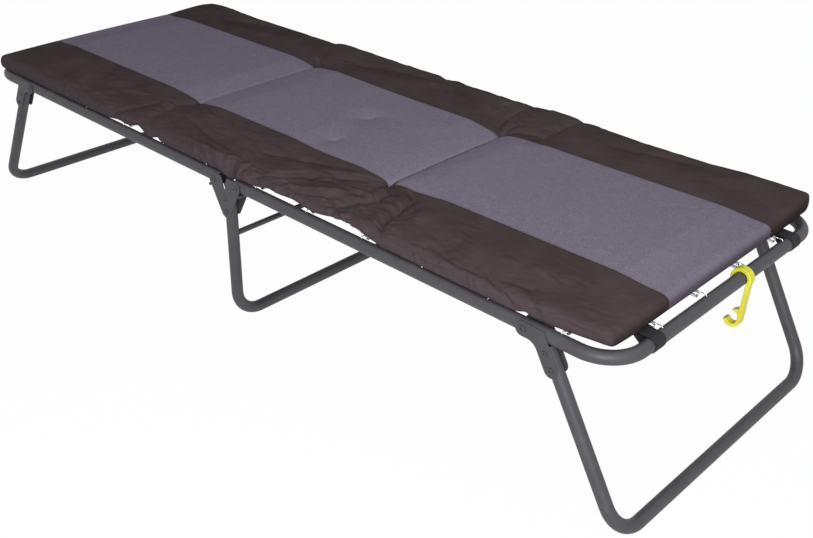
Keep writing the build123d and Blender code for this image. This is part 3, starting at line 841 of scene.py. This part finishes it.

# The two cloths: the pitch of each weave, the tones of its body and patches, a lighter tone on its walls
# as painted light and a darker one on its ends as painted shade, and how far each side of the edges the
# last two set in. Then come the top-stitching beside the panel's seams, and the dark thread and painted
# shade along the right-hand crease.
border_pitch = 0.0008
# In each set of tones the third, for the walls, is painted light, and the fourth, for the ends, painted shade
border_tones = ("#473d3d", "#514748", "#4c4245", "#3a3031")
panel_pitch = 0.0012
panel_tones = ("#696270", "#8a8394", "#7f7888", "#5a525e")
painted_light_wall_blend = (-0.025, 0.004)
painted_shade_end_blend = (-0.006, 0.02)
cover_roughness = 0.8
stitch_pitch = 0.0036
stitch_half = 0.0004
stitch_inset = 0.003
# Half width of the band of painted shade and dark thread along the crease, and the dark of thread and shade
crease_shade_half = 0.0021
thread_and_shade_dark = "#2a2528"


def cover_cloth(name, pitch):
    """Matt woven cloth: its finish, where it is laid along and across the cover, and its threads."""
    cloth = Finish(name, specular_ior_level=0.0)
    laid = cloth.node("Attribute", {"attribute_name": "cloth"}, {}, "Vector")
    return cloth, laid, plain_weave(cloth, laid, pitch)


def sewn_cover(cloth, laid, relief, patches, tones):
    """Colour the cloth by its patches, paint light on its walls and shade on its ends and crease, and sew its
    stitches.
    """
    body, patch, wall, end = tones
    along, across = [cloth.node("SeparateXYZ", {}, {"Vector": laid}, axis) for axis in ("X", "Y")]
    aside = abs(across)
    row = abs(abs(aside - panel_half_width) - stitch_inset) < stitch_half
    stitches = row * (wave(cloth, laid, stitch_pitch, "X") > stitch_gap)
    face = cloth.mix(patches, body, patch)
    # Painted light: the walls take a lighter tone, standing in for the front lamp's light on them
    face = cloth.mix(aside.rise(pad_side + painted_light_wall_blend[0], pad_side + painted_light_wall_blend[1]), face, wall)
    # Painted shade: the ends take a darker tone, standing in for the shade where the cover turns under
    face = cloth.mix(abs(along).rise(pad_end + painted_shade_end_blend[0], pad_end + painted_shade_end_blend[1]), face, end)
    face = cloth.mix(stitches * 0.6, face, thread_and_shade_dark)
    # Dark thread with painted shade: a band along the right-hand crease, darkened for the shade in its groove
    crease_shade = (abs(along - crease_x) < crease_shade_half) * (aside < panel_half_width)
    relief = cloth.bump(stitches, 0.0004, under=relief)
    return cloth.surface(cloth.mix(crease_shade * 0.85, face, thread_and_shade_dark), cover_roughness, relief)


border, laid, threads = cover_cloth("pad_border", border_pitch)
border_patches = border.noise(0.07, 4.0).rise(0.3, 0.75) * 0.8 + threads * 0.1
border_relief = border.bump(threads, border_pitch * 0.25)
border_weave = sewn_cover(border, laid, border_relief, border_patches, border_tones)

panel, laid, threads = cover_cloth("pad_panel", panel_pitch)
panel_patches = panel.noise(0.003, 4.0).rise(0.2, 0.8) * 0.6 + panel.noise(0.012, 4.0) * 0.45
panel_relief = panel.bump(threads, panel_pitch * 0.25)
panel_weave = sewn_cover(panel, laid, panel_relief, panel_patches, panel_tones)


def subdivided(points, faces):
    """The cover with each face split in four and smoothed, as a mesh with its two cloths."""
    middles = flat_cover[np.array(faces)].mean(axis=1)
    on_panel = (middles[:, 2] > foot + 1e-4) & (np.abs(middles[:, 1]) < panel_half_width)
    piece = new_piece("fine", points, faces, border_weave)
    piece.data.materials.append(panel_weave)
    piece.data.polygons.foreach_set("material_index", on_panel.astype(np.int32))
    laid = piece.data.attributes.new("cloth", "FLOAT_VECTOR", "POINT")
    laid.data.foreach_set("vector", cloth_cover.ravel())
    rise = piece.data.attributes.new("rise", "FLOAT", "POINT")
    rise.data.foreach_set("value", level_cover)
    on_fold = piece.vertex_groups.new(name="fold")
    fold_points = [i for i, corner in enumerate(flat_cover) if abs(corner[0]) < 1e-9]
    on_fold.add(fold_points, 1.0, "REPLACE")
    finer = piece.modifiers.new("finer", "SUBSURF")
    finer.levels = 1
    fine = bpy.data.meshes.new_from_object(piece.evaluated_get(bpy.context.evaluated_depsgraph_get()))
    bpy.data.objects.remove(piece)
    return fine


def ripple(along, across, size, seed):
    """Small wrinkles of that length and width, from 0 in their bottoms up to about 1."""
    rows = zip(along / size[0], across / size[1])
    return np.array([abs(noise.noise((a, b, seed))) for a, b in rows]) * 2


def wrinkled(mesh):
    """Press the seams and the small wrinkles of the loose cover into its fine mesh."""
    laid = np.zeros(len(mesh.vertices) * 3)
    mesh.attributes["cloth"].data.foreach_get("vector", laid)
    along, across, _ = laid.reshape(-1, 3).T
    level = np.zeros(len(mesh.vertices))
    mesh.attributes["rise"].data.foreach_get("value", level)
    drift = ripple(along, across, drift_size, 7.0) * drift_reach
    loose = np.where(across < 0, set_along(along, near_looseness), set_along(along, far_looseness))
    loose = loose * np.clip((np.abs(across) - panel_half_width) / 0.06, 0, 1) * np.clip(level / 0.25, 0, 1)
    loose = loose * np.clip(ripple(along, across, calm_size, 5.0) + 0.25, 0, 1)
    wall = np.clip((np.abs(across) - pad_side + 0.03) / 0.03, 0, 1)
    to_corner = np.abs(across) - 0.35 * np.abs(np.abs(along) - crease_x)
    lying = ripple(along, to_corner + drift, lying_wrinkle, 1.0) * (1 - 0.6 * wall)
    standing = ripple(along + drift + 0.5 * across, across, standing_wrinkle, 2.0) * wall
    fine = ripple(along - 0.6 * across, across + drift, fine_wrinkle, 3.0)
    raised = wrinkle_depth * (lying + standing_share * standing + fine_share * fine - 0.5) * loose
    on_top = np.clip((level - 0.7) / 0.2, 0, 1)
    past_panel = np.abs(across) - panel_half_width
    over_panel = np.clip(1 - past_panel / seam_run_out, 0, 1)
    for place, depth in zip(seams_x, crease_sinks):
        raised -= depth * bell(along - place, crease_reach) * over_panel * on_top
    raised -= seam_sink * bell(past_panel, seam_reach) * on_top
    cloth = np.stack([along, across], axis=1)
    pressed = sum(fold_depth(cloth, line, depth, reach * pressed_reach) for line, depth, reach in cover_folds)
    raised -= pressed_share * pressed * np.clip(level / 0.3, 0, 1)
    moved = read_points(mesh, "co") + read_points(mesh, "normal") * raised[:, None]
    mesh.vertices.foreach_set("co", moved.ravel())
    mesh.update()


def pad_half(whole, outward, name):
    """One half of the cover, closed by a flat face at the fold, with the shading of the whole."""
    piece = bpy.data.objects.new(name, whole.copy())
    bpy.context.scene.collection.objects.link(piece)
    mesh = bmesh.new()
    mesh.from_mesh(piece.data)
    fold_layer = mesh.verts.layers.deform.verify()
    normals = mesh.verts.layers.float_vector.new("whole_normal")
    for vert in mesh.verts:
        vert[normals] = vert.normal
        if vert[fold_layer].get(0, 0) > 0.99:
            vert.co.x = 0.0
    other = [face for face in mesh.faces if face.calc_center_median().x * outward < 0]
    bmesh.ops.delete(mesh, geom=other, context="FACES")
    rim = [edge for edge in mesh.edges if edge.is_boundary]
    caps = bmesh.ops.holes_fill(mesh, edges=rim, sides=0)["faces"]
    for cap in caps:
        cap.material_index = 0
        cap.smooth = False
    bmesh.ops.recalc_face_normals(mesh, faces=caps)
    shading = []
    for face in mesh.faces:
        for loop in face.loops:
            shading.append(tuple(loop.vert[normals]) if face.smooth else (-outward, 0, 0))
    mesh.to_mesh(piece.data)
    mesh.free()
    piece.data.normals_split_custom_set(shading)
    piece.vertex_groups.clear()
    return piece


whole_cover = subdivided(pad_points, cover_faces)
wrinkled(whole_cover)
for outward, half in ((-1, "left"), (1, "right")):
    pad = pad_half(whole_cover, outward, f"{half}_pad")
    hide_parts(f"{half}_pad_middle_half", f"{half}_pad_end_section")
    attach(pad, f"{half}_frame")
    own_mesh(pad)

# ---- Straps ----------------------------------------------------------------------------------------
# Loops of 30 mm polyester webbing, with fine ribs across and a firm selvedge. Their tails are sewn
# under the ends of the pad, and each loop is drawn round the end tube to hold the pad in place.
webbing_width = 0.03
webbing_thickness = 0.0014
webbing_selvedge = 0.0022
selvedge_swell, selvedge_edge = 1.12, 0.55
webbing_ribs = 0.0016
webbing_black = "#18171a"
webbing_grey = "#29282b"
tail_spacing = 1.6
bend_steps, run_steps = 40, 6
webbing_rows = 10

band = Finish("strap_webbing", specular_ior_level=0.25)
band_ribs = wave(band, band.place, webbing_ribs, "Y")
band_picks = band.noise(0.0009)
band_wear = band.noise(0.012, 3.0).rise(0.45, 0.75)
band_face = band.mix(band_ribs * 0.5 + band_wear * 0.5, webbing_black, webbing_grey)
band_relief = band.bump(band_ribs * 0.7 + band_picks * 0.5, 0.0005)
webbing = band.surface(band_face, 0.62 + band_wear * 0.15, band_relief)


def straight(start, stop):
    """Points along a straight run of a strap, with both its ends."""
    return [[a + (b - a) * i / run_steps for a, b in zip(start, stop)] for i in range(run_steps + 1)]


def strap_line(outward, low, high):
    """Middle line of one loop, seen from the side: in along the top, round the tube, and back out."""
    tube_x = outward * (max(abs(tube_low.x), abs(tube_high.x)) - (tube_high.z - tube_low.z) / 2)
    tube_z = (tube_low.z + tube_high.z) / 2
    radius = max(abs(low.x), abs(high.x)) - abs(tube_x) - webbing_thickness / 2
    reach = abs(tube_x - (low.x if outward > 0 else high.x))
    upper = high.z - tube_z - webbing_thickness / 2
    lower = upper - tail_spacing * webbing_thickness
    start = atan2(upper, -reach) - acos(radius / hypot(reach, upper))
    stop = atan2(lower, -reach) + acos(radius / hypot(reach, lower))
    turn = (start - stop) % (2 * pi)
    angles = [start - turn * i / bend_steps for i in range(bend_steps + 1)]
    bend = [(radius * cos(angle), radius * sin(angle)) for angle in angles]
    points = straight((-reach, upper), bend[0])[:-1] + bend + straight(bend[-1], (-reach, lower))[1:]
    return [(tube_x + outward * x, tube_z + z) for x, z in points]


def webbing_loop(line, low_y):
    """A band of webbing along a line, with rounded selvedges and a slight ripple in its width."""
    corners, faces = [], []
    high_y = low_y + webbing_width
    ring = [(y, 1) for y in evenly(low_y, high_y, webbing_rows + 1)]
    ring += [(y, -1) for y, _ in reversed(ring)]
    for i, (x, z) in enumerate(line):
        before, after = line[max(i - 1, 0)], line[min(i + 1, len(line) - 1)]
        along = Vector((after[0] - before[0], 0, after[1] - before[1])).normalized()
        out = along.cross(Vector((0, 1, 0)))
        for y, face_side in ring:
            edge = min(y - low_y, high_y - y)
            swell = 1.0 if edge > webbing_selvedge else selvedge_swell
            half = webbing_thickness / 2 * (selvedge_edge if edge < 1e-6 else swell)
            sway = 0.0004 * sin(i * 0.9 + y * 60)
            corners.append(Vector((x, y + sway, z)) + out * half * face_side)
    count = len(ring)
    for i in range(len(line) - 1):
        for k in range(count):
            a, b = i * count + k, i * count + (k + 1) % count
            faces.append((a, a + count, b + count, b))
    faces.append(tuple(range(count)))
    faces.append(tuple(reversed(range(len(corners) - count, len(corners)))))
    return corners, faces


for outward, half in ((-1, "left"), (1, "right")):
    low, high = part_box(f"{half}_straps")
    line = strap_line(outward, low, high)
    corners, faces = joined([webbing_loop(line, y) for y in (low.y, high.y - webbing_width)])
    if outward < 0:
        faces = [tuple(reversed(face)) for face in faces]
    straps = new_piece(f"{half}_webbing_loops", corners, faces, webbing)
    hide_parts(f"{half}_straps")
    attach(straps, f"{half}_frame")

# ---- Room ------------------------------------------------------------------------------------------
# A plain pale floor under soft studio light: one large panel overhead, one lower at the front, and an
# even surround. The camera, and gloss and glass too, see the floor and the surround as near white.
floor_half = 30.0
floor_pale = "#f8f8f8"
floor_white = 0.975
surround = 0.27
white_rays = ("Is Camera Ray", "Is Glossy Ray", "Is Transmission Ray")

floor = Finish("floor_paint")
painted = floor.surface(shade(floor_pale), 0.9)
seen, mirrored, through = [floor.node("LightPath", {}, {}, ray) for ray in white_rays]
white = floor.node("Emission", {}, {"Color": (1, 1, 1, 1), "Strength": 1.0})
lit = Reading(floor, floor.shader.outputs[0])
shown = floor.node("MixShader", {}, {0: (seen + mirrored + through) * floor_white, 1: lit, 2: white})
floor.feed(floor.nodes["Material Output"].inputs["Surface"], shown)
floor_corners = [(floor_half * x, floor_half * y, 0) for x, y in ((-1, -1), (1, -1), (1, 1), (-1, 1))]
new_piece("floor", floor_corners, [(0, 1, 2, 3)], painted, smooth=False)


def panel_lamp(name, size, strength, place, aim=(0, 0, 0.3)):
    """A soft rectangular lamp that looks at the cot."""
    light = bpy.data.lights.new(name, "AREA")
    light.shape, light.size, light.energy = "SQUARE", size, strength
    lamp = bpy.data.objects.new(name, light)
    lamp.location = place
    lamp.rotation_mode = "QUATERNION"
    lamp.rotation_quaternion = (Vector(aim) - Vector(place)).to_track_quat("-Z", "Y")
    bpy.context.scene.collection.objects.link(lamp)


panel_lamp("lamp_overhead", 2.4, 17, (1.0, 0.0, 3.2))
panel_lamp("lamp_front", 1.6, 96, (2.2, -2.3, 1.7))

world = bpy.data.worlds.new("studio")
bpy.context.scene.world = world
air = Recipe(world)
seen, mirrored, through = [air.node("LightPath", {}, {}, ray) for ray in white_rays]
white_air = seen.larger(mirrored).larger(through)
backdrop = air.nodes["Background"]
air.feed(backdrop.inputs["Color"], (1, 1, 1, 1))
air.feed(backdrop.inputs["Strength"], surround + white_air * (1 - surround))

# ---- Camera ----------------------------------------------------------------------------------------
# A camera held at chest height beyond the cot's near right corner, turned to look down along its length,
# and tilted a little on its own axis.
camera_place = (1.6079, -1.536, 1.2648)
camera_heading = radians(132.84)
camera_dip = radians(29.79)
camera_roll = radians(1.1)
camera_lens = 47.24

camera = bpy.data.objects.new("camera", bpy.data.cameras.new("camera"))
camera.data.lens = camera_lens
camera.location = camera_place
level = cos(camera_dip)
ahead = Vector((cos(camera_heading) * level, sin(camera_heading) * level, -sin(camera_dip)))
camera.rotation_mode = "QUATERNION"
camera.rotation_quaternion = ahead.to_track_quat("-Z", "Y") @ Quaternion((0, 0, 1), camera_roll)
bpy.context.scene.collection.objects.link(camera)
bpy.context.scene.camera = camera
bpy.context.scene.view_settings.view_transform = "Standard"
